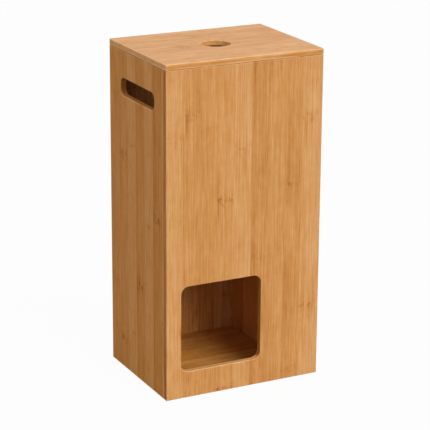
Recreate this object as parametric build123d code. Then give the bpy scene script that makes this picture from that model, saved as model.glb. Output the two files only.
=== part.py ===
"""Bamboo box that stores toilet rolls, with a lift-off lid and a window at the foot of its front.

Millimetres. The origin is on the floor under the middle of the box. The front faces -Y and +Z is up.
"""

from build123d import *
from math import isclose
import os

os.makedirs("parts", exist_ok=True)

# The closed box, from the floor to the top of the lid
width = 250.0
depth = 192.0
height = 500.0

# Boards, whose outer edges are eased more than the ones inside
board_thickness = 9.0
lid_thickness = 8.5
outer_easing = 1.2
inner_easing = 0.5

# The box's floor is held above the lower edges of the walls, and its feet reach just below them
floor_rise = 11.0
foot_stand_off = 1.0
foot_diameter = 18.0
foot_taper = 1.2
foot_edge_radius = 0.8
foot_inset = 6.0

# The divider parts the roll bay from a narrow pocket at the right, and stops short of the battens
pocket_width = 30.0
divider_headroom = 4.0

# Window in the front board, where rolls are taken out
window_width = 129.0
window_height = 131.0
window_left_margin = 24.0
window_sill = 41.0
window_corner_radius = 12.0

# Hand slots in the side boards
slot_length = 114.0
slot_height = 26.0
slot_corner_radius = 10.0
slot_drop = 49.0

# Lid: a finger hole, two battens that locate it in the mouth of the box, and the pads it rests on
finger_hole_diameter = 44.0
batten_width = 12.0
batten_depth = 10.0
batten_clearance = 1.5
batten_chamfer = 2.0
pad_thickness = 0.6
pad_diameter = 7.0

# Countersunk screws that hold the battens to the lid
screw_diameter = 3.0
screw_length = 16.0
screw_head_diameter = 6.0
screw_head_depth = 1.8
screw_point_length = 3.0
screw_recess_length = 3.4
screw_recess_width = 0.8
screw_recess_depth = 1.1
screw_end_gap = 0.5
batten_screw_count = 3
screw_end_margin = 26.0

# Dowels: the short end sits in the face of one board and the long end in the edge of the next
dowel_diameter = 5.0
dowel_length = 25.0
dowel_in_face = 6.5
dowel_end_gap = 0.5
dowel_chamfer = 0.6

# How many dowels each joint has, and how far the outer ones are from the ends of the joint
corner_dowel_count = 4
corner_dowel_margin = 42.0
divider_dowel_count = 3
divider_dowel_margin = 60.0
floor_side_dowel_count = 3
floor_side_dowel_margin = 30.0
floor_end_dowel_count = 3
floor_end_dowel_margin = 42.0

# Faces and levels that follow from the sizes above
left, right = -width / 2, width / 2
front, back = -depth / 2, depth / 2
inner_left, inner_right = left + board_thickness, right - board_thickness
inner_front, inner_back = front + board_thickness, back - board_thickness
wall_foot = foot_stand_off
floor_underside = wall_foot + floor_rise
floor_top = floor_underside + board_thickness
lid_underside = height - lid_thickness
wall_top = lid_underside - pad_thickness
batten_underside = lid_underside - batten_depth
divider_right = inner_right - pocket_width
divider_left = divider_right - board_thickness
divider_top = batten_underside - divider_headroom
half_board = board_thickness / 2


def spread(low, high, margin, count):
    """Evenly spaced places between two ends, with the margin kept free at each end."""
    first, last = low + margin, high - margin
    return [first + (last - first) * i / (count - 1) for i in range(count)]


def board(x, y, z):
    """A board that fills three (low, high) ranges."""
    spans = (x, y, z)
    middle = [(low + high) / 2 for low, high in spans]
    return Pos(*middle) * Box(*[high - low for low, high in spans])


def peg(radius, length, point, direction, tip_radius=None):
    """A round peg, or a cone, that starts at the point and runs in the direction."""
    plane = Plane(origin=point, z_dir=direction)
    base = (Align.CENTER, Align.CENTER, Align.MIN)
    if tip_radius is None:
        return plane * Cylinder(radius, length, align=base)
    return plane * Cone(radius, tip_radius, length, align=base)


def moved(point, direction, distance):
    """The point moved along the direction."""
    return tuple(p + distance * d for p, d in zip(point, direction))


def edges_along(solid, axis, **places):
    """The solid's straight edges along an axis, kept to the ones at the given x, y or z."""

    def is_there(edge):
        middle = edge.center()
        gaps = [getattr(middle, name.upper()) - place for name, place in places.items()]
        return all(isclose(gap, 0, abs_tol=1e-6) for gap in gaps)

    return solid.edges().filter_by(axis).filter_by(is_there)


def rim(solid, axis, index):
    """The edges of the opening in the first (0) or last (-1) face of the solid along an axis."""
    return solid.faces().filter_by(axis).sort_by(axis)[index].inner_wires()[0].edges()


# Each joint is a set of dowels: (point on the joint's face, direction into the edge of the next board)
corner_levels = spread(wall_foot, wall_top, corner_dowel_margin, corner_dowel_count)
divider_levels = spread(floor_top, divider_top, divider_dowel_margin, divider_dowel_count)
floor_depths = spread(inner_front, inner_back, floor_side_dowel_margin, floor_side_dowel_count)
floor_widths = spread(inner_left, inner_right, floor_end_dowel_margin, floor_end_dowel_count)
divider_middle = divider_left + half_board
floor_middle = floor_underside + half_board
rightward, leftward, backward, forward, upward = (1, 0, 0), (-1, 0, 0), (0, 1, 0), (0, -1, 0), (0, 0, 1)

joints = {
    "front_left": [((left + half_board, inner_front, z), backward) for z in corner_levels],
    "front_right": [((right - half_board, inner_front, z), backward) for z in corner_levels],
    "back_left": [((inner_left, back - half_board, z), rightward) for z in corner_levels],
    "back_right": [((inner_right, back - half_board, z), leftward) for z in corner_levels],
    "floor_left": [((inner_left, y, floor_middle), rightward) for y in floor_depths],
    "floor_right": [((inner_right, y, floor_middle), leftward) for y in floor_depths],
    "floor_front": [((x, inner_front, floor_middle), backward) for x in floor_widths],
    "floor_back": [((x, inner_back, floor_middle), forward) for x in floor_widths],
    "divider_front": [((divider_middle, inner_front, z), backward) for z in divider_levels],
    "divider_back": [((divider_middle, inner_back, z), forward) for z in divider_levels],
}


def dowel(point, direction):
    """One dowel across a joint, with both ends chamfered."""
    start = moved(point, direction, -dowel_in_face)
    body = peg(dowel_diameter / 2, dowel_length, start, direction)
    return chamfer(body.edges().filter_by(GeomType.CIRCLE), dowel_chamfer)


def bored(solid, *names):
    """The solid with the dowel holes of the named joints, each with a gap for glue past its ends."""
    hole_length = dowel_length + 2 * dowel_end_gap
    for name in names:
        for point, direction in joints[name]:
            start = moved(point, direction, -dowel_in_face - dowel_end_gap)
            solid -= peg(dowel_diameter / 2, hole_length, start, direction)
    return solid


def make_front():
    """Full width, over the front edges of the side boards, with the window low at its left."""
    panel = board((left, right), (front, inner_front), (wall_foot, wall_top))
    panel = fillet(edges_along(panel, Axis.Z, y=front), outer_easing)
    panel = fillet(edges_along(panel, Axis.X, y=front), inner_easing)
    middle_x = left + window_left_margin + window_width / 2
    middle_z = window_sill + window_height / 2
    plane = Plane(origin=(middle_x, front, middle_z), x_dir=rightward, z_dir=forward)
    outline = RectangleRounded(window_width, window_height, window_corner_radius)
    panel -= extrude(plane * outline, board_thickness, both=True)
    panel = fillet(rim(panel, Axis.Y, 0), outer_easing)
    panel = fillet(rim(panel, Axis.Y, -1), inner_easing)
    return bored(panel, "front_left", "front_right", "floor_front", "divider_front")


def make_side(outer, inner, *names):
    """A side board from the front board to the back of the box, with a hand slot near its top."""
    faces = sorted((outer, inner))
    outer_face, inner_face = (0, -1) if outer < inner else (-1, 0)
    panel = board(faces, (inner_front, back), (wall_foot, wall_top))
    panel = fillet(edges_along(panel, Axis.Z, x=outer, y=back), outer_easing)
    panel = fillet(edges_along(panel, Axis.Y, x=outer), inner_easing)
    slot_middle = height - slot_drop - slot_height / 2
    plane = Plane(origin=(outer, 0, slot_middle), x_dir=backward, z_dir=rightward)
    outline = RectangleRounded(slot_length, slot_height, slot_corner_radius)
    panel -= extrude(plane * outline, board_thickness, both=True)
    panel = fillet(rim(panel, Axis.X, outer_face), outer_easing)
    panel = fillet(rim(panel, Axis.X, inner_face), inner_easing)
    return bored(panel, *names)


def make_back():
    """Between the side boards and flush with their rear edges."""
    panel = board((inner_left, inner_right), (inner_back, back), (wall_foot, wall_top))
    panel = fillet(edges_along(panel, Axis.Z, y=back), inner_easing)
    panel = fillet(edges_along(panel, Axis.X, y=back), inner_easing)
    return bored(panel, "back_left", "back_right", "floor_back", "divider_back")


def make_floor():
    """The board that the rolls stand on, doweled to all four walls."""
    panel = board((inner_left, inner_right), (inner_front, inner_back), (floor_underside, floor_top))
    return bored(panel, "floor_left", "floor_right", "floor_front", "floor_back")


def make_divider():
    """An upright board from the front to the back, which parts the pocket from the roll bay."""
    panel = board((divider_left, divider_right), (inner_front, inner_back), (floor_top, divider_top))
    panel = fillet(edges_along(panel, Axis.Y, z=divider_top), outer_easing)
    return bored(panel, "divider_front", "divider_back")


def make_foot(x, y):
    """A rubber foot stuck under the floor board, a little narrower at its lower end."""
    lower_radius = foot_diameter / 2 - foot_taper
    foot = peg(lower_radius, floor_underside, (x, y, 0), upward, tip_radius=foot_diameter / 2)
    return fillet(foot.edges().sort_by(Axis.Z)[0], foot_edge_radius)


def screw_places(y):
    """The points on the underside of the batten at y where its screws go in."""
    low, high = inner_left + batten_clearance, inner_right - batten_clearance
    return [(x, y, batten_underside) for x in spread(low, high, screw_end_margin, batten_screw_count)]


def countersink(point):
    """The conical head of a screw that starts at the point, and the seat cut for it."""
    return peg(screw_head_diameter / 2, screw_head_depth, point, upward, tip_radius=screw_diameter / 2)


def make_screw(point):
    """A screw driven upwards, with a cross recess in its head and a pointed tip."""
    shank_length = screw_length - screw_head_depth - screw_point_length
    shank_start = moved(point, upward, screw_head_depth)
    tip_start = moved(shank_start, upward, shank_length)
    radius = screw_diameter / 2
    screw = countersink(point) + peg(radius, shank_length, shank_start, upward)
    screw += peg(radius, screw_point_length, tip_start, upward, tip_radius=radius / 4)
    slot = Box(screw_recess_length, screw_recess_width, 2 * screw_recess_depth)
    return screw - Pos(*point) * slot - Pos(*point) * Rot(0, 0, 90) * slot


def screw_hole(point):
    """The hole that a screw fills, in the batten and on into the lid."""
    radius = screw_diameter / 2
    return countersink(point) + peg(radius, screw_length + screw_end_gap, point, upward)


def make_lid(screw_points):
    """The lid, flush with the walls, with a finger hole through its middle."""
    panel = board((left, right), (front, back), (lid_underside, height))
    panel = fillet(edges_along(panel, Axis.Z), outer_easing)
    panel -= Pos(0, 0, lid_underside) * Cylinder(finger_hole_diameter / 2, 2 * lid_thickness)
    panel = fillet(panel.faces().sort_by(Axis.Z)[-1].edges(), outer_easing)
    panel = fillet(rim(panel, Axis.Z, 0), outer_easing)
    panel = fillet(panel.faces().sort_by(Axis.Z)[0].outer_wire().edges(), inner_easing)
    for point in screw_points:
        panel -= screw_hole(point)
    return panel


def make_batten(wall, y, screw_points):
    """A batten under the lid, with its lower edges chamfered so that it finds the mouth of the box."""
    x_range = (inner_left + batten_clearance, inner_right - batten_clearance)
    y_range = (y - batten_width / 2, y + batten_width / 2)
    batten = board(x_range, y_range, (batten_underside, lid_underside))
    outer_face = min(y_range, key=lambda face: abs(face - wall))
    lead_in = edges_along(batten, Axis.X, y=outer_face, z=batten_underside)
    lead_in += edges_along(batten, Axis.Y, z=batten_underside)
    batten = chamfer(lead_in, batten_chamfer)
    for point in screw_points:
        batten -= screw_hole(point)
    return batten


def make_pads():
    """Thin clear pads at the lid's corners, which rest on the rim of the walls."""
    rim_x = (left + half_board, right - half_board)
    rim_y = (front + half_board, back - half_board)
    return [peg(pad_diameter / 2, pad_thickness, (x, y, wall_top), upward) for x in rim_x for y in rim_y]


batten_offset = batten_clearance + batten_width / 2
batten_lines = {
    "front": (inner_front, inner_front + batten_offset),
    "back": (inner_back, inner_back - batten_offset),
}
batten_screws = {end: screw_places(y) for end, (wall, y) in batten_lines.items()}
all_screw_points = [point for points in batten_screws.values() for point in points]

nodes = {
    "front_panel": make_front(),
    "back_panel": make_back(),
    "left_side_panel": make_side(left, inner_left, "front_left", "back_left", "floor_left"),
    "right_side_panel": make_side(right, inner_right, "front_right", "back_right", "floor_right"),
    "floor_panel": make_floor(),
    "divider_panel": make_divider(),
    "lid_panel": make_lid(all_screw_points),
    "lid_batten_screws": [make_screw(point) for point in all_screw_points],
    "lid_rest_pads": make_pads(),
}
for end, (wall, y) in batten_lines.items():
    nodes["lid_batten_" + end] = make_batten(wall, y, batten_screws[end])
for name, places in joints.items():
    nodes["dowels_" + name] = [dowel(point, direction) for point, direction in places]

foot_offset = foot_inset + foot_diameter / 2
for x_name, x in (("left", inner_left + foot_offset), ("right", inner_right - foot_offset)):
    for y_name, y in (("front", inner_front + foot_offset), ("back", inner_back - foot_offset)):
        nodes["foot_" + y_name + "_" + x_name] = make_foot(x, y)

for name, shape in nodes.items():
    if isinstance(shape, list):
        shape = Compound(children=shape)
    shape.label = name
    export_step(shape, "parts/" + name + ".step")
    print(name, round(shape.volume), "mm3")
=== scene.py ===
import math

import bpy
from mathutils import Matrix, Vector


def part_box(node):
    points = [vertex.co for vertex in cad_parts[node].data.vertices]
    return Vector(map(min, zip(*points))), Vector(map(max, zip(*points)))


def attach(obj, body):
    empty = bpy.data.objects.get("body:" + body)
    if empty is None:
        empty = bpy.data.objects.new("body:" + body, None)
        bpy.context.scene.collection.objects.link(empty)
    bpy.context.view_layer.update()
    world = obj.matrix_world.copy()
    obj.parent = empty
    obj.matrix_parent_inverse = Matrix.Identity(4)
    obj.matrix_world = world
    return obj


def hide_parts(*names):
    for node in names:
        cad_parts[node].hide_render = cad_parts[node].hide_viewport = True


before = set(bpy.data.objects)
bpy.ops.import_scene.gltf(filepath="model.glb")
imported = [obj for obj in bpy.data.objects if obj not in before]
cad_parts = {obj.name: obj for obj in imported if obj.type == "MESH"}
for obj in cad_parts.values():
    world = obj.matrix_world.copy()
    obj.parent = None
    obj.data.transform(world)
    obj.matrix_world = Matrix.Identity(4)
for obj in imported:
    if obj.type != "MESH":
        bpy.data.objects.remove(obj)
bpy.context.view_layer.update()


# The view: the box is seen from the front and a little from its left, from above its lid, through a long
# lens. The place is in metres, and the angles are the turn from straight ahead, the tilt down and the roll.
view_place = Vector((-1.1726, -2.3022, 1.0634))
view_turn = math.radians(27.01)
view_tilt = math.radians(17.68)
view_roll = math.radians(0.36)
focal_length_pixels = 1825.0
picture_width_pixels = 430.0
nearest_seen = 0.05

level_ahead = Vector((math.sin(view_turn), math.cos(view_turn), 0.0))
ahead = level_ahead * math.cos(view_tilt) - Vector((0.0, 0.0, math.sin(view_tilt)))
level_right = Vector((math.cos(view_turn), -math.sin(view_turn), 0.0))
level_up = level_right.cross(ahead)
camera_right = math.cos(view_roll) * level_right + math.sin(view_roll) * level_up
camera_up = math.cos(view_roll) * level_up - math.sin(view_roll) * level_right

camera_data = bpy.data.cameras.new("long_lens")
camera_data.lens = camera_data.sensor_width * focal_length_pixels / picture_width_pixels
camera_data.clip_start = nearest_seen
camera = bpy.data.objects.new("long_lens", camera_data)
camera_axes = Matrix((camera_right, camera_up, -ahead)).transposed()
camera.matrix_world = Matrix.Translation(view_place) @ camera_axes.to_4x4()
bpy.context.scene.collection.objects.link(camera)
bpy.context.scene.camera = camera


# The light: a white room gives soft light from all sides, a broad lamp from the front and above makes the
# front and the lid bright, and a weak wide one at the left lifts the shade there. The camera sees the room
# as near white. The spread of a lamp is in degrees, and its direction points to it from the box.
room_light = 0.53
room_white = 0.995
front_lamp = {"strength": 2.59, "spread": 44.0, "colour": (1.0, 1.0, 1.0),
              "direction": Vector((0.28, -0.79, 0.545))}
left_lamp = {"strength": 0.81, "spread": 50.0, "colour": (1.0, 0.89, 0.86),
             "direction": Vector((-0.95, 0.25, 0.20))}

room = bpy.data.worlds.new("white_room")
room.use_nodes = True
room_tree = room.node_tree
room_rays = room_tree.nodes.new("ShaderNodeLightPath")
seen = room_rays.outputs["Is Camera Ray"]
for kind_of_ray in ("Is Glossy Ray", "Is Transmission Ray"):
    either = room_tree.nodes.new("ShaderNodeMath")
    either.operation = "MAXIMUM"
    room_tree.links.new(seen, either.inputs[0])
    room_tree.links.new(room_rays.outputs[kind_of_ray], either.inputs[1])
    seen = either.outputs[0]
room_strength = room_tree.nodes.new("ShaderNodeMapRange")
room_strength.inputs["To Min"].default_value = room_light
room_strength.inputs["To Max"].default_value = room_white
room_tree.links.new(seen, room_strength.inputs["Value"])
room_tree.links.new(room_strength.outputs[0], room_tree.nodes["Background"].inputs["Strength"])
room_tree.nodes["Background"].inputs["Color"].default_value = (1.0, 1.0, 1.0, 1.0)
bpy.context.scene.world = room

for lamp_name, values in (("front_lamp", front_lamp), ("left_lamp", left_lamp)):
    lamp_data = bpy.data.lights.new(lamp_name, "SUN")
    lamp_data.energy = values["strength"]
    lamp_data.color = values["colour"]
    lamp_data.angle = math.radians(values["spread"])
    lamp = bpy.data.objects.new(lamp_name, lamp_data)
    lamp.rotation_euler = values["direction"].to_track_quat("Z", "Y").to_euler()
    bpy.context.scene.collection.objects.link(lamp)


# The floor: a wide sheet of pale paper. The camera sees it nearly as white as the room, with a faint shadow
# of the box, and other rays meet a pale grey sheet.
floor_reach = 12.0
floor_grey = 0.20
floor_white = 1.09
floor_glow_share = 0.88

floor_corners = [(floor_reach * x, floor_reach * y, 0.0) for x, y in ((-1, -1), (1, -1), (1, 1), (-1, 1))]
floor_mesh = bpy.data.meshes.new("paper_floor")
floor_mesh.from_pydata(floor_corners, [], [(0, 1, 2, 3)])
floor = bpy.data.objects.new("paper_floor", floor_mesh)
bpy.context.scene.collection.objects.link(floor)

paper = bpy.data.materials.new("pale_paper")
paper.use_nodes = True
paper_tree = paper.node_tree
paper_tree.nodes.clear()
paper_rays = paper_tree.nodes.new("ShaderNodeLightPath")
glow_share = paper_tree.nodes.new("ShaderNodeMath")
glow_share.operation = "MULTIPLY"
glow_share.inputs[1].default_value = floor_glow_share
matt = paper_tree.nodes.new("ShaderNodeBsdfDiffuse")
matt.inputs["Color"].default_value = (floor_grey, floor_grey, floor_grey, 1.0)
glow = paper_tree.nodes.new("ShaderNodeEmission")
glow.inputs["Strength"].default_value = floor_white
both = paper_tree.nodes.new("ShaderNodeMixShader")
paper_output = paper_tree.nodes.new("ShaderNodeOutputMaterial")
paper_tree.links.new(paper_rays.outputs["Is Camera Ray"], glow_share.inputs[0])
paper_tree.links.new(glow_share.outputs[0], both.inputs["Fac"])
paper_tree.links.new(matt.outputs[0], both.inputs[1])
paper_tree.links.new(glow.outputs[0], both.inputs[2])
paper_tree.links.new(both.outputs[0], paper_output.inputs["Surface"])
floor_mesh.materials.append(paper)


# The front board: strips of caramel bamboo, glued edge to edge in three plies, planed, cut with a window
# and given a thin satin lacquer. Each strip has its own tone and its own ring, where the cane had a joint.
# It covers the front edges of the side boards and is held to them by hidden dowels.
mm_per_metre = 1000.0
turn_of_face = (0.5, 0.8)


class Finish:
    """A material being made. The methods add nodes to it and wire them. Its patterns are in millimetres."""

    def __init__(self, name):
        self.material = bpy.data.materials.new(name)
        self.material.use_nodes = True
        self.tree = self.material.node_tree
        self.surface = self.tree.nodes["Principled BSDF"]

    def join(self, value, socket):
        if isinstance(value, bpy.types.NodeSocket):
            self.tree.links.new(value, socket)
        else:
            socket.default_value = value

    def add(self, kind, inputs=None, **settings):
        """A node of the kind, with its settings made and its inputs set or linked."""
        node = self.tree.nodes.new("ShaderNode" + kind)
        for name, value in settings.items():
            setattr(node, name, value)
        for name, value in (inputs or {}).items():
            self.join(value, node.inputs[name])
        return node

    def sum(self, operation, *values):
        """The result of a sum on numbers."""
        return self.add("Math", dict(enumerate(values)), operation=operation).outputs[0]

    def vector(self, operation, *values):
        """The result of a sum on vectors."""
        return self.add("VectorMath", dict(enumerate(values)), operation=operation).outputs[0]

    def give(self, **inputs):
        """The surface gets these inputs, whose names have underscores for spaces."""
        for name, value in inputs.items():
            self.join(value, self.surface.inputs[name.replace("_", " ")])

    def object_place(self):
        """The place on the object, in millimetres."""
        metres = self.add("TexCoord").outputs["Object"]
        return self.add("VectorMath", {0: metres, "Scale": mm_per_metre}, operation="SCALE").outputs[0]

    def parts_of(self, vector):
        """The three parts of the vector, by axis."""
        return dict(zip("XYZ", self.add("SeparateXYZ", {0: vector}).outputs))

    def facing(self, axis):
        """1 where the surface faces along the axis, either way, and 0 where it lies along it."""
        normal = self.add("TexCoord").outputs["Normal"]
        lean = self.sum("ABSOLUTE", self.parts_of(normal)[axis])
        return self.sum("SUBTRACT", 1.0, self.fade(lean, *turn_of_face))

    def blotches(self, place, size, detail=2.0):
        """Soft noise from -0.5 to 0.5, whose blotches have the size (x, y, z)."""
        scaled = self.vector("DIVIDE", place, size)
        noise = self.add("TexNoise", {"Vector": scaled, "Scale": 1.0, "Detail": detail}).outputs[0]
        return self.sum("SUBTRACT", noise, 0.5)

    def fade(self, value, near, far):
        """1 up to near, which falls smoothly to 0 at far."""
        inputs = {"Value": value, "From Min": near, "From Max": far, "To Min": 1.0, "To Max": 0.0}
        return self.add("MapRange", inputs, interpolation_type="SMOOTHSTEP").outputs[0]

    def weighted(self, *terms):
        """The sum of (value, weight) terms."""
        total = 0.0
        for value, weight in terms:
            total = self.add("Math", {0: value, 1: weight, 2: total}, operation="MULTIPLY_ADD").outputs[0]
        return total

    def length(self, *parts):
        """The length of the vector with these parts."""
        vector = self.add("CombineXYZ", dict(enumerate(parts))).outputs[0]
        return self.add("VectorMath", {0: vector}, operation="LENGTH").outputs["Value"]

    def ramp(self, value, stops, interpolation="LINEAR"):
        """A node that gives the colour of the stops, each (place, colour), for the value."""
        node = self.add("ValToRGB", {"Fac": value})
        node.color_ramp.interpolation = interpolation
        while len(node.color_ramp.elements) < len(stops):
            node.color_ramp.elements.new(1.0)
        for element, (place, colour) in zip(node.color_ramp.elements, stops):
            element.position = place
            element.color = colour if len(colour) == 4 else (*colour, 1.0)
        return node

    def face_gaps(self, parts, low, high):
        """The distances along X, Y and Z from the faces of a block with these corners."""
        gaps = []
        for axis, lowest, highest in zip("XYZ", low, high):
            off_middle = self.sum("ABSOLUTE", self.sum("SUBTRACT", parts[axis], (lowest + highest) / 2))
            gaps.append(self.sum("SUBTRACT", (highest - lowest) / 2, off_middle))
        return gaps

    def cut_gap(self, over, along, cut):
        """The distance, in the plane of the board, from the outline of an opening with round corners."""
        over_low, over_high, along_low, along_high, radius = cut
        gaps = []
        for value, low, high in ((over, over_low, over_high), (along, along_low, along_high)):
            off_middle = self.sum("ABSOLUTE", self.sum("SUBTRACT", value, (low + high) / 2))
            gaps.append(self.sum("SUBTRACT", off_middle, (high - low) / 2 - radius))
        round_part = self.length(*[self.sum("MAXIMUM", gap, 0.0) for gap in gaps])
        flat_part = self.sum("MINIMUM", self.sum("MAXIMUM", *gaps), 0.0)
        return self.sum("ABSOLUTE", self.weighted((round_part, 1.0), (flat_part, 1.0), (radius, -1.0)))

    def bump(self, height, depth_mm):
        """Relief on the surface, where a height of 1 is depth_mm."""
        inputs = {"Height": height, "Distance": depth_mm / mm_per_metre}
        self.give(Normal=self.add("Bump", inputs).outputs[0])


bamboo_colours = [
    (0.0, (0.300, 0.090, 0.014)),
    (0.25, (0.485, 0.182, 0.034)),
    (0.5, (0.612, 0.275, 0.075)),
    (0.75, (0.705, 0.375, 0.150)),
    (1.0, (0.785, 0.475, 0.250)),
]
ply_count = 3
ply_stagger = 11.0
strips_skipped_per_ply = 3.0
strips_skipped = 1.5
seam_width = 0.35
glue_width_in_plies = 0.07
just_inside = 0.01
# How far from an edge the wear with its painted highlight, or the painted shade, reaches, in millimetres
edge_wear_and_painted_light_reach = (0.4, 1.9)
bundle_reach = (0.12, 0.34)
relief_depth = 0.05

ring_spacing = 290.0
ring_bow = 12.0
ring_wobble = 10.0
ring_reach = (1.0, 13.0)
ring_tail_reach = (4.0, 55.0)
mottle_reach = (-0.12, 0.08)
spot_width, spot_height = 4.2, 4.6
spot_wobble = 2.0
spot_reach = (0.1, 1.5)
stain_width, stain_height = 2.6, 18.0
stain_drop = 14.0
stain_reach = (0.3, 1.1)

# The sway bends all the grain, and each strip starts at another place in it, within these distances. The
# sizes of its patterns go across a strip, along it and through the board.
sway_size = 70.0
sway_reach = 1.6
start_over, start_along = 97.0, 640.0
dash_reach = (-0.22, -0.10)
hue_swing = 0.012
grain_sizes = {
    "cloud": (15.0, 55.0, 15.0), "flame": (9.0, 13.0, 9.0), "streak": (1.8, 110.0, 1.8),
    "thread": (0.85, 38.0, 0.85), "dash": (0.5, 6.0, 0.5), "wobble": (7.0, 12.0, 7.0),
    "mottle": (5.0, 6.0, 5.0), "warmth": (6.0, 160.0, 6.0), "bundle": (0.9, 9.0, 0.9),
}


def bamboo(name, node, grain, across, outer, first_seam, strip_width, strips, seed, cuts=(),
           figure=1.0, richness=1.0, edge_wear_and_painted_light=0.12, flank_tone=-0.12, end_tone=0.08):
    """Bamboo board material. The grain and the row of strips run along the two named axes, and outer says
    whether the outer face is the low or the high one. Each strip has its tone from -1 to 1, the level of its
    ring in millimetres, the strength of that ring, and how far across the strip the ring's dark spot lies.
    Figure is the contrast of the grain and richness the depth of the colour. The last three tones make the
    edges, the faces that end the row of strips, and the end grain lighter or darker. A lighter edge is wear
    and a painted highlight, and a darker edge is painted shade where the board meets others."""
    finish = Finish(name)
    low, high = [corner * mm_per_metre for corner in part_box(node)]
    through = "XYZ".index((set("XYZ") - {grain, across}).pop())
    place = finish.object_place()
    parts = finish.parts_of(place)
    along, over, deep = parts[grain], parts[across], parts["XYZ"[through]]
    ply_depth = (high - low)[through] / ply_count

    # The ply and the strip at this place
    from_outer = finish.sum("SUBTRACT", deep, low[through])
    if outer == "high":
        from_outer = finish.sum("SUBTRACT", high[through], deep)
    depth = finish.sum("DIVIDE", from_outer, ply_depth)
    inside = finish.sum("MINIMUM", finish.sum("MAXIMUM", depth, just_inside), ply_count - just_inside)
    ply = finish.sum("FLOOR", inside)
    shifted = finish.weighted((over, 1.0), (ply, ply_stagger), (first_seam, -1.0))
    count = finish.sum("DIVIDE", shifted, strip_width)
    strip = finish.sum("FLOOR", count)
    share = finish.sum("FRACT", count)

    # The strip's own chance values, and its line in the list of strips
    key = finish.add("CombineXYZ", {0: strip, 1: ply, 2: seed}).outputs[0]
    chances = finish.add("TexWhiteNoise", {"Vector": key}).outputs["Color"]
    chance = finish.add("SeparateColor", {0: chances}).outputs
    turn = finish.weighted((strip, 1.0), (ply, strips_skipped_per_ply), (strips_skipped, 1.0))
    pick = finish.sum("FRACT", finish.sum("DIVIDE", turn, len(strips)))
    stops = [(i / len(strips), (0.5 + tone / 2, ring % ring_spacing / ring_spacing, strength, spot))
             for i, (tone, ring, strength, spot) in enumerate(strips)]
    chosen = finish.ramp(pick, stops, "CONSTANT")
    picked = finish.add("SeparateColor", {0: chosen.outputs["Color"]}).outputs
    tone = finish.sum("SUBTRACT", picked[0], 0.5)
    strength = picked[2]

    # The grain, which starts anew in every strip
    sway = finish.blotches(place, (sway_size, sway_size, sway_size), 1.0)
    fibre_over = finish.weighted((over, 1.0), (sway, sway_reach), (chance[0], start_over))
    fibre_along = finish.weighted((along, 1.0), (chance[1], start_along))
    fibre = finish.add("CombineXYZ", {0: fibre_over, 1: fibre_along, 2: deep}).outputs[0]
    cloud, flame, streak, thread, wobble, mottle = [
        finish.blotches(fibre, grain_sizes[pattern])
        for pattern in ("cloud", "flame", "streak", "thread", "wobble", "mottle")]
    dash = finish.fade(finish.blotches(fibre, grain_sizes["dash"], 1.0), *dash_reach)

    # The ring of the strip: a mottled band, a dark spot, a stain under it, and streaks that tail off
    rings = finish.sum("SUBTRACT", finish.sum("DIVIDE", along, ring_spacing), picked[1])
    turns = finish.sum("SUBTRACT", finish.sum("FRACT", finish.sum("ADD", rings, 0.5)), 0.5)
    arch = finish.sum("POWER", finish.sum("SUBTRACT", share, 0.5), 2.0)
    ring_place = finish.weighted((turns, ring_spacing), (arch, -ring_bow), (wobble, ring_wobble))
    ring_gap = finish.sum("ABSOLUTE", ring_place)
    mottled = finish.fade(mottle, *mottle_reach)
    ring_band = finish.sum("MULTIPLY", finish.fade(ring_gap, *ring_reach), mottled)
    strips_off_spot = finish.sum("SUBTRACT", share, chosen.outputs["Alpha"])
    off_spot = finish.weighted((strips_off_spot, strip_width), (wobble, spot_wobble))
    spot_parts = [finish.sum("DIVIDE", off_spot, spot_width), finish.sum("DIVIDE", ring_place, spot_height)]
    spot = finish.fade(finish.length(*spot_parts), *spot_reach)
    below_ring = finish.sum("ADD", ring_place, stain_drop)
    stain_parts = [finish.sum("DIVIDE", off_spot, stain_width),
                   finish.sum("DIVIDE", below_ring, stain_height)]
    stain = finish.fade(finish.length(*stain_parts), *stain_reach)
    ring_marks = finish.weighted((ring_band, 0.40), (spot, 0.42), (stain, 0.22))
    ring_dark = finish.sum("MULTIPLY", ring_marks, strength)
    tail_share = finish.sum("MULTIPLY", finish.fade(ring_gap, *ring_tail_reach), strength)
    ring_tail = finish.sum("MULTIPLY", tail_share, streak)

    # The seams between strips and plies
    off_middle = finish.sum("ABSOLUTE", finish.sum("SUBTRACT", share, 0.5))
    seam_gap = finish.sum("MULTIPLY", finish.sum("SUBTRACT", 0.5, off_middle), abs(strip_width))
    seam = finish.fade(seam_gap, 0.0, seam_width)
    edge_shade = finish.sum("MULTIPLY", finish.fade(share, 0.0, 0.5), finish.sum("MINIMUM", tone, 0.0))
    glue_gaps = [finish.sum("ABSOLUTE", finish.sum("SUBTRACT", depth, line)) for line in (1.0, 2.0)]
    glue = finish.fade(finish.sum("MINIMUM", *glue_gaps), 0.0, glue_width_in_plies)
    core = finish.fade(finish.sum("ABSOLUTE", finish.sum("SUBTRACT", ply, 1.0)), 0.2, 0.8)

    # The end grain with its dots, and the edges: lighter for wear and a painted highlight, darker as painted
    # shade
    end = finish.facing(grain)
    flank = finish.facing(across)
    bundles = finish.vector("DIVIDE", fibre, grain_sizes["bundle"])
    from_bundle = finish.add("TexVoronoi", {"Vector": bundles, "Scale": 1.0}).outputs["Distance"]
    end_dots = finish.sum("MULTIPLY", finish.fade(from_bundle, *bundle_reach), end)
    gaps = finish.face_gaps(parts, low, high)
    largest_two = finish.sum("MINIMUM", finish.sum("MAXIMUM", gaps[0], gaps[1]), gaps[2])
    edge_gap = finish.sum("MAXIMUM", finish.sum("MINIMUM", gaps[0], gaps[1]), largest_two)
    for cut in cuts:
        rim_gap = finish.sum("MAXIMUM", finish.cut_gap(over, along, cut), gaps[through])
        edge_gap = finish.sum("MINIMUM", edge_gap, rim_gap)
    edge = finish.sum("MULTIPLY", finish.fade(edge_gap, *edge_wear_and_painted_light_reach), finish.sum("ADD", cloud, 0.7))
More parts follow.
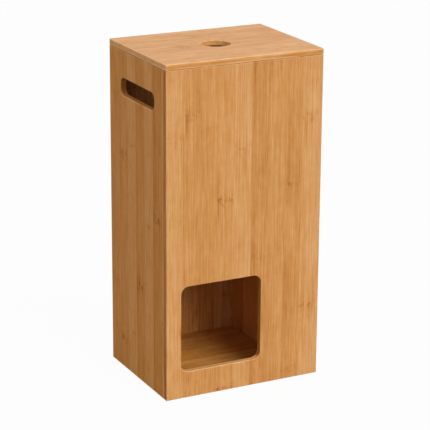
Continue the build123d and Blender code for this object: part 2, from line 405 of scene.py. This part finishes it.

    # The colour, the gloss and the relief
    # The edge term adds wear with a painted highlight, and painted shade in the corners where its tone is
    # below 0
    level = finish.weighted(
        (1.0, 0.5), (tone, 0.27), (chance[2], 0.04), (cloud, 0.29 * figure), (flame, 0.18 * figure),
        (streak, 0.48 * figure), (thread, 0.48 * figure), (ring_tail, 0.4), (dash, -0.06),
        (ring_dark, -0.50), (seam, -0.05), (edge_shade, 0.24), (glue, -0.10), (core, -0.05),
        (end, end_tone), (end_dots, -0.10), (flank, flank_tone), (edge, edge_wear_and_painted_light))
    colour = finish.ramp(level, bamboo_colours).outputs["Color"]
    warmth = finish.blotches(fibre, grain_sizes["warmth"], 1.0)
    hue = finish.weighted((warmth, hue_swing), (1.0, 0.5))
    turned = {"Hue": hue, "Saturation": richness, "Color": colour}
    roughness = finish.weighted((1.0, 0.42), (thread, 0.18), (end, 0.16), (ring_dark, 0.1), (edge, -0.05))
    finish.give(
        Base_Color=finish.add("HueSaturation", turned).outputs[0], Roughness=roughness,
        Specular_IOR_Level=0.17, Coat_Weight=0.04, Coat_Roughness=0.30)
    relief = finish.weighted(
        (thread, 1.0), (streak, 0.5), (dash, -0.35), (seam, -0.6), (glue, -0.5), (end_dots, -0.6))
    finish.bump(relief, relief_depth)
    return finish.material


def dress(node, material):
    """The node keeps its shape and gets the material."""
    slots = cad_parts[node].data.materials
    slots.clear()
    slots.append(material)


window = (-101.0, 28.0, 41.0, 172.0, 12.0)
front_strips = [
    (0.5, 393.0, 0.3, 0.9), (-0.2, 423.0, 0.6, 0.2), (-0.3, 400.0, 0.3, 0.5), (0.1, 292.0, 1.0, 0.1),
    (0.6, 365.0, 0.5, 0.6), (-0.6, 200.0, 0.3, 0.2), (-0.2, 207.0, 0.2, 0.7), (-0.4, 305.0, 0.4, 0.4),
    (0.4, 400.0, 0.7, 0.6),
]
front_bamboo = bamboo(
    "bamboo_front", "front_panel", "Z", "X", "low", -99.0, 27.3, front_strips, 1.0, cuts=[window],
    richness=0.98, flank_tone=-0.28, end_tone=0.2)
dress("front_panel", front_bamboo)


# The side boards: the same bamboo board, each with a hand slot cut near its top, which run behind the front
# board to the back of the box. The left one's grain is weaker than the front's, and its colour is deeper as
# painted shade, since that side faces away from the front lamp.
slot = (-57.0, 57.0, 425.0, 451.0, 10.0)
side_strips = [
    (-0.3, 133.0, 0.4, 0.5), (-0.4, 337.0, 0.8, 0.3), (0.45, 357.0, 0.5, 0.6), (-0.35, 150.0, 1.0, 0.6),
    (0.45, 250.0, 0.4, 0.4), (-0.65, 267.0, 0.9, 0.7), (0.3, 400.0, 0.5, 0.5),
]
# A richness above 1 deepens the left board's colour as painted shade
left_bamboo = bamboo(
    "bamboo_left_side", "left_side_panel", "Z", "Y", "low", 63.0, -28.9, side_strips, 2.0, cuts=[slot],
    figure=0.85, richness=1.03)
dress("left_side_panel", left_bamboo)
right_bamboo = bamboo(
    "bamboo_right_side", "right_side_panel", "Z", "Y", "high", 60.0, -28.9, side_strips[::-1], 3.0,
    cuts=[slot])
dress("right_side_panel", right_bamboo)


# The back board: the same three plies of bamboo, set between the side boards and flush with their rear
# edges, where hidden dowels hold it. The contrast of its grain is stronger than the front's.
back_bamboo = bamboo(
    "bamboo_back", "back_panel", "Z", "X", "high", -99.3, 27.6, front_strips[::-1], 4.0, figure=1.5)
dress("back_panel", back_bamboo)


# The floor board: bamboo, let in between the four walls a little above their lower edges and held by
# dowels. Its grain runs from side to side, and its edges are darker where it meets the walls, as painted
# shade in those corners.
floor_strips = [
    (0.3, 20.0, 0.5, 0.3), (-0.2, 140.0, 0.4, 0.6), (0.1, 90.0, 0.5, 0.5), (-0.3, 200.0, 0.6, 0.2),
    (0.2, 250.0, 0.4, 0.8),
]
dress("floor_panel", bamboo(
    "bamboo_floor", "floor_panel", "X", "Y", "high", -70.0, 28.0, floor_strips, 5.0, figure=1.6,
    richness=1.05, edge_wear_and_painted_light=-0.4))


# The divider: an upright bamboo board between the front and the back, which parts the roll bay from the
# pocket at the right. Dowels hold it, and it ends a little below the battens of the lid. Its edges are
# darker, as painted shade in the corners where it meets other boards.
divider_bamboo = bamboo(
    "bamboo_divider", "divider_panel", "Z", "Y", "low", -60.0, 28.0, side_strips, 6.0, edge_wear_and_painted_light=-0.4)
dress("divider_panel", divider_bamboo)


# The lid: a loose board of the same bamboo, with its grain from side to side and a finger hole bored
# through its middle. Its edges are eased all round and are painted paler, the upper ones with the rest, for
# wear and as a painted highlight.
finger_hole = (-22.0, 22.0, -22.0, 22.0, 22.0)
lid_strips = [
    (0.45, 210.0, 0.5, 0.3), (0.3, 76.0, 0.6, 0.5), (0.0, 150.0, 0.4, 0.4), (-0.15, 235.0, 0.5, 0.6),
    (0.0, 100.0, 0.4, 0.5), (-0.3, 280.0, 0.5, 0.4), (0.15, 20.0, 0.4, 0.5),
]
lid_bamboo = bamboo(
    "bamboo_lid", "lid_panel", "X", "Y", "high", -70.0, 27.6, lid_strips, 7.0, cuts=[finger_hole],
    figure=1.4, richness=1.01, edge_wear_and_painted_light=0.4, flank_tone=0.05, end_tone=0.2)
dress("lid_panel", lid_bamboo)


# The battens: two strips of bamboo under the lid, which drop just inside the front and the back walls, so
# that the lid stays in place and flat. Each is held by three screws from below.
batten_bamboo = bamboo(
    "bamboo_batten", "lid_batten_front", "X", "Y", "low", -200.0, 28.0, floor_strips, 8.0)
dress("lid_batten_front", batten_bamboo)
dress("lid_batten_back", batten_bamboo)


# The pads: four thin discs of clear silicone, stuck under the corners of the lid. They rest on the rims of
# the walls and keep wood from knocking on wood.
haze_size = (1.5, 1.5, 1.5)
haze_depth = 0.02

silicone = Finish("clear_silicone")
haze = silicone.blotches(silicone.object_place(), haze_size)
silicone.give(
    Base_Color=(0.93, 0.94, 0.93, 1.0), Transmission_Weight=0.85, IOR=1.41,
    Roughness=silicone.weighted((1.0, 0.30), (haze, 0.25)))
silicone.bump(haze, haze_depth)
dress("lid_rest_pads", silicone.material)


# The dowels: beech pegs with flutes that let the glue and the air out, chamfered at both ends and glued
# into the holes of each pair of boards. They are grown on the middles of the solids that stand for them.
dowel_radius = 0.0025
dowel_length = 0.025
dowel_chamfer = 0.0006
flute_count = 12
flute_depth = 0.00018
points_per_flute = 4
segments_along = 3
shank_share = 0.9
least_spacing = 0.03
beech_patterns = (("fleck", 0.35, 2.2), ("fibre", 0.15, 9.0), ("tone", 3.0, 30.0))
beech_colours = [(0.0, (0.34, 0.19, 0.10)), (0.5, (0.58, 0.40, 0.24)), (1.0, (0.74, 0.58, 0.40))]
beech_relief = 0.04


class Recipe:
    """A Geometry Nodes tree being made, with a geometry input, named inputs and one geometry output."""

    def __init__(self, name, **inputs):
        self.tree = bpy.data.node_groups.new(name, "GeometryNodeTree")
        face = self.tree.interface
        face.new_socket("Geometry", in_out="INPUT", socket_type="NodeSocketGeometry")
        face.new_socket("Geometry", in_out="OUTPUT", socket_type="NodeSocketGeometry")
        self.identifiers = {}
        for label, kind in inputs.items():
            socket = face.new_socket(label, in_out="INPUT", socket_type="NodeSocket" + kind)
            self.identifiers[label] = socket.identifier
        self.given = self.tree.nodes.new("NodeGroupInput").outputs
        self.result = self.tree.nodes.new("NodeGroupOutput").inputs[0]

    def add(self, kind, inputs=None, **settings):
        """The node of the kind, with its settings made and its inputs set or linked."""
        node = self.tree.nodes.new(kind)
        for name, value in settings.items():
            setattr(node, name, value)
        for name, value in (inputs or {}).items():
            for each in value if isinstance(value, list) else [value]:
                if isinstance(each, bpy.types.NodeSocket):
                    self.tree.links.new(each, node.inputs[name])
                else:
                    node.inputs[name].default_value = each
        return node

    def sum(self, operation, *values):
        """The result of a sum on numbers."""
        return self.add("ShaderNodeMath", dict(enumerate(values)), operation=operation).outputs[0]

    def shifted(self, geometry, height, turn=0.0):
        """The geometry turned about Z and raised by the height."""
        offset = self.add("ShaderNodeCombineXYZ", {2: height}).outputs[0]
        inputs = {"Geometry": geometry, "Translation": offset, "Rotation": (0.0, 0.0, turn)}
        return self.add("GeometryNodeTransform", inputs).outputs[0]

    def repeat(self, shape, direction, material):
        """A copy of the shape at every point, with its Z axis along the direction."""
        turn = self.add("FunctionNodeAlignRotationToVector", {"Vector": direction}, axis="Z").outputs[0]
        inputs = {"Points": self.given["Geometry"], "Instance": shape, "Rotation": turn}
        copies = self.add("GeometryNodeInstanceOnPoints", inputs).outputs[0]
        real = self.add("GeometryNodeRealizeInstances", {0: copies}).outputs[0]
        dressed = self.add("GeometryNodeSetMaterial", {"Geometry": real, "Material": material}).outputs[0]
        self.tree.links.new(dressed, self.result)


def grow(name, recipe, points, **values):
    """A piece of plain mesh, which the recipe grows on the points."""
    mesh = bpy.data.meshes.new(name)
    mesh.from_pydata(points, [], [])
    piece = bpy.data.objects.new(name, mesh)
    bpy.context.scene.collection.objects.link(piece)
    modifier = piece.modifiers.new("grow", "NODES")
    modifier.node_group = recipe.tree
    for label, value in values.items():
        modifier[recipe.identifiers[label]] = value
    graph = bpy.context.evaluated_depsgraph_get()
    grown = bpy.data.meshes.new_from_object(piece.evaluated_get(graph))
    piece.modifiers.remove(modifier)
    piece.data = grown
    return piece


def piece_middles(node):
    """The middles of the like solids in a node, which stand apart in rows along the axes."""
    rows = []
    for axis in range(3):
        places = sorted({round(vertex.co[axis], 6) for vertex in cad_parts[node].data.vertices})
        breaks = [i + 1 for i, (a, b) in enumerate(zip(places, places[1:])) if b - a > least_spacing]
        groups = [places[i:j] for i, j in zip([0] + breaks, breaks + [None])]
        rows.append([(group[0] + group[-1]) / 2 for group in groups])
    return [(x, y, z) for x in rows[0] for y in rows[1] for z in rows[2]]


def beech(name, grain):
    """Bare beech, pinkish tan, with short dark flecks and pores along the grain."""
    finish = Finish(name)
    place = finish.object_place()
    sizes = {pattern: tuple(long if axis == grain else wide for axis in "XYZ")
             for pattern, wide, long in beech_patterns}
    fleck = finish.fade(finish.blotches(place, sizes["fleck"], 1.0), -0.20, -0.08)
    fibre = finish.blotches(place, sizes["fibre"])
    tone = finish.blotches(place, sizes["tone"])
    level = finish.weighted((1.0, 0.55), (tone, 0.6), (fibre, 0.5), (fleck, -0.25))
    finish.give(
        Base_Color=finish.ramp(level, beech_colours).outputs["Color"],
        Roughness=finish.weighted((1.0, 0.62), (fibre, 0.2)))
    finish.bump(finish.weighted((fibre, 1.0), (fleck, -0.4)), beech_relief)
    return finish.material


# A straight peg, whose points are drawn in for the flutes, and at both ends for the chamfer
dowel_recipe = Recipe("fluted_dowel", Radius="Float", Length="Float", Flutes="Int", Groove="Float",
                      Chamfer="Float", Direction="Vector", Material="Material")
given = dowel_recipe.given
around = dowel_recipe.sum("MULTIPLY", given["Flutes"], float(points_per_flute))
peg_inputs = {"Vertices": around, "Side Segments": segments_along, "Radius": given["Radius"],
              "Depth": given["Length"]}
peg = dowel_recipe.add("GeometryNodeMeshCylinder", peg_inputs).outputs["Mesh"]
position = dowel_recipe.add("GeometryNodeInputPosition").outputs[0]
x, y, z = dowel_recipe.add("ShaderNodeSeparateXYZ", {0: position}).outputs
angle = dowel_recipe.sum("ARCTAN2", y, x)
wave = dowel_recipe.sum("COSINE", dowel_recipe.sum("MULTIPLY", angle, given["Flutes"]))
groove_share = dowel_recipe.sum("SUBTRACT", 0.5, dowel_recipe.sum("MULTIPLY", wave, 0.5))
groove = dowel_recipe.sum("MULTIPLY", groove_share, given["Groove"])
half_length = dowel_recipe.sum("MULTIPLY", given["Length"], 0.5)
near_end = dowel_recipe.sum("MULTIPLY", half_length, shank_share)
at_end = dowel_recipe.sum("GREATER_THAN", dowel_recipe.sum("ABSOLUTE", z), near_end)
lost = dowel_recipe.sum("ADD", groove, dowel_recipe.sum("MULTIPLY", at_end, given["Chamfer"]))
shrink = dowel_recipe.sum("SUBTRACT", 1.0, dowel_recipe.sum("DIVIDE", lost, given["Radius"]))
shoulder = dowel_recipe.sum("SUBTRACT", half_length, given["Chamfer"])
reach = dowel_recipe.sum("ADD", shoulder, dowel_recipe.sum("MULTIPLY", at_end, given["Chamfer"]))
moved = dowel_recipe.add("ShaderNodeCombineXYZ", {
    0: dowel_recipe.sum("MULTIPLY", x, shrink),
    1: dowel_recipe.sum("MULTIPLY", y, shrink),
    2: dowel_recipe.sum("MULTIPLY", dowel_recipe.sum("SIGN", z), reach)}).outputs[0]
fluted = dowel_recipe.add("GeometryNodeSetPosition", {"Geometry": peg, "Position": moved}).outputs[0]
dowel_recipe.repeat(fluted, given["Direction"], given["Material"])

directions = {"X": (1.0, 0.0, 0.0), "Y": (0.0, 1.0, 0.0)}
beeches = {axis: beech("beech_along_" + axis.lower(), axis) for axis in directions}
for node in sorted(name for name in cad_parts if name.startswith("dowels_")):
    low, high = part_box(node)
    # A row is longest along itself and as thin as one dowel, and the dowels lie along its middle extent
    grain = sorted("XYZ", key=lambda axis: (high - low)["XYZ".index(axis)])[1]
    piece = grow(
        "fluted_" + node, dowel_recipe, piece_middles(node), Radius=dowel_radius, Length=dowel_length,
        Flutes=flute_count, Groove=flute_depth, Chamfer=dowel_chamfer, Direction=directions[grain],
        Material=beeches[grain])
    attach(piece, "box")
    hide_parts(node)


# The screws: bright zinc countersunk wood screws, three up through each batten into the lid, with a cross
# recess in the head, a rolled thread and a gimlet point.
screw_length = 0.016
screw_head_radius = 0.003
screw_head_depth = 0.0018
screw_radius = 0.0015
screw_core_radius = 0.0011
screw_point_length = 0.003
thread_pitch = 0.0011
recess_length = 0.0034
recess_width = 0.0008
recess_depth = 0.0011
socket_top_radius = 0.0009
socket_foot_radius = 0.0003
socket_depth = 0.0014
tip_taper = 8
head_sides, core_sides, socket_sides, crest_sides = 40, 24, 16, 3
rubbed_size = (0.8, 0.8, 3.0)
bloom_size = (2.5, 2.5, 2.5)
rubbed_depth = 0.01
zinc_colours = [(0.0, (0.36, 0.35, 0.33)), (0.5, (0.56, 0.55, 0.52)), (1.0, (0.70, 0.69, 0.65))]

zinc = Finish("bright_zinc")
zinc_place = zinc.object_place()
rubbed = zinc.blotches(zinc_place, rubbed_size, 3.0)
bloom = zinc.blotches(zinc_place, bloom_size)
zinc_level = zinc.weighted((1.0, 0.5), (rubbed, 0.6), (bloom, 0.6))
zinc.give(
    Base_Color=zinc.ramp(zinc_level, zinc_colours).outputs["Color"], Metallic=1.0,
    Roughness=zinc.weighted((1.0, 0.34), (rubbed, 0.3), (bloom, 0.2)))
zinc.bump(rubbed, rubbed_depth)

# A head cut for the driver, a core with a thread wound round it, and a point, all along Z from the head
screw_recipe = Recipe("countersunk_screw", Length="Float", Pitch="Float", Direction="Vector",
                      Material="Material")
given = screw_recipe.given
add, total = screw_recipe.add, screw_recipe.sum
shank_top = total("SUBTRACT", given["Length"], screw_point_length)
shank_length = total("SUBTRACT", shank_top, screw_head_depth)
head_inputs = {"Vertices": head_sides, "Radius Top": screw_radius, "Radius Bottom": screw_head_radius,
               "Depth": screw_head_depth}
head = add("GeometryNodeMeshCone", head_inputs).outputs["Mesh"]
wings_size = (recess_length, recess_width, 2 * recess_depth)
wings = add("GeometryNodeMeshCube", {"Size": wings_size}).outputs["Mesh"]
socket_inputs = {"Vertices": socket_sides, "Radius Top": socket_foot_radius,
                 "Radius Bottom": socket_top_radius, "Depth": 2 * socket_depth}
socket = add("GeometryNodeMeshCone", socket_inputs).outputs["Mesh"]
cutters = [screw_recipe.shifted(wings, 0.0), screw_recipe.shifted(wings, 0.0, turn=math.pi / 2),
           screw_recipe.shifted(socket, -socket_depth)]
for cutter in cutters:
    cut_inputs = {"Mesh 1": head, "Mesh 2": cutter}
    head = add("GeometryNodeMeshBoolean", cut_inputs, operation="DIFFERENCE").outputs["Mesh"]
core_inputs = {"Vertices": core_sides, "Radius": screw_core_radius, "Depth": shank_length}
core = add("GeometryNodeMeshCylinder", core_inputs).outputs["Mesh"]
core_middle = total("ADD", total("MULTIPLY", shank_length, 0.5), screw_head_depth)
core = screw_recipe.shifted(core, core_middle)
tip_inputs = {"Vertices": core_sides, "Radius Top": screw_core_radius / tip_taper,
              "Radius Bottom": screw_core_radius, "Depth": screw_point_length}
tip = screw_recipe.shifted(add("GeometryNodeMeshCone", tip_inputs).outputs["Mesh"], shank_top)
thread_height = screw_radius - screw_core_radius
turns = total("DIVIDE", shank_length, given["Pitch"])
spiral_inputs = {"Resolution": core_sides, "Rotations": turns, "Height": shank_length,
                 "Start Radius": screw_core_radius, "End Radius": screw_core_radius}
spiral = add("GeometryNodeCurveSpiral", spiral_inputs).outputs[0]
crest_inputs = {"Resolution": crest_sides, "Radius": thread_height}
crest = add("GeometryNodeCurvePrimitiveCircle", crest_inputs).outputs["Curve"]
thread_inputs = {"Curve": spiral, "Profile Curve": crest, "Fill Caps": True}
thread = add("GeometryNodeCurveToMesh", thread_inputs).outputs[0]
thread = screw_recipe.shifted(thread, screw_head_depth)
whole = add("GeometryNodeJoinGeometry", {"Geometry": [head, core, tip, thread]}).outputs[0]
screw = screw_recipe.shifted(whole, total("MULTIPLY", given["Length"], -0.5))
screw_recipe.repeat(screw, given["Direction"], given["Material"])

screws = grow("wood_screws", screw_recipe, piece_middles("lid_batten_screws"), Length=screw_length,
              Pitch=thread_pitch, Direction=(0.0, 0.0, 1.0), Material=zinc.material)
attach(screws, "lid")
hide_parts("lid_batten_screws")


# The feet: four moulded buttons of black rubber, a little narrower at their lower ends and stuck under the
# floor board, which hold the walls just clear of what the box stands on.
grit_size = (0.4, 0.4, 0.4)
dust_size = (5.0, 5.0, 5.0)
grit_depth = 0.05
rubber_colours = [(0.0, (0.020, 0.020, 0.021)), (0.5, (0.036, 0.036, 0.037)), (1.0, (0.090, 0.086, 0.080))]

rubber = Finish("matt_rubber")
rubber_place = rubber.object_place()
grit = rubber.blotches(rubber_place, grit_size)
dust = rubber.blotches(rubber_place, dust_size, 3.0)
rubber_level = rubber.weighted((1.0, 0.4), (grit, 0.5), (dust, 1.0))
rubber.give(
    Base_Color=rubber.ramp(rubber_level, rubber_colours).outputs["Color"],
    Roughness=rubber.weighted((1.0, 0.72), (dust, 0.3)))
rubber.bump(grit, grit_depth)
for node in ("foot_front_left", "foot_front_right", "foot_back_left", "foot_back_right"):
    dress(node, rubber.material)


# The end: the picture keeps its plain tones.
bpy.context.scene.view_settings.view_transform = "Standard"
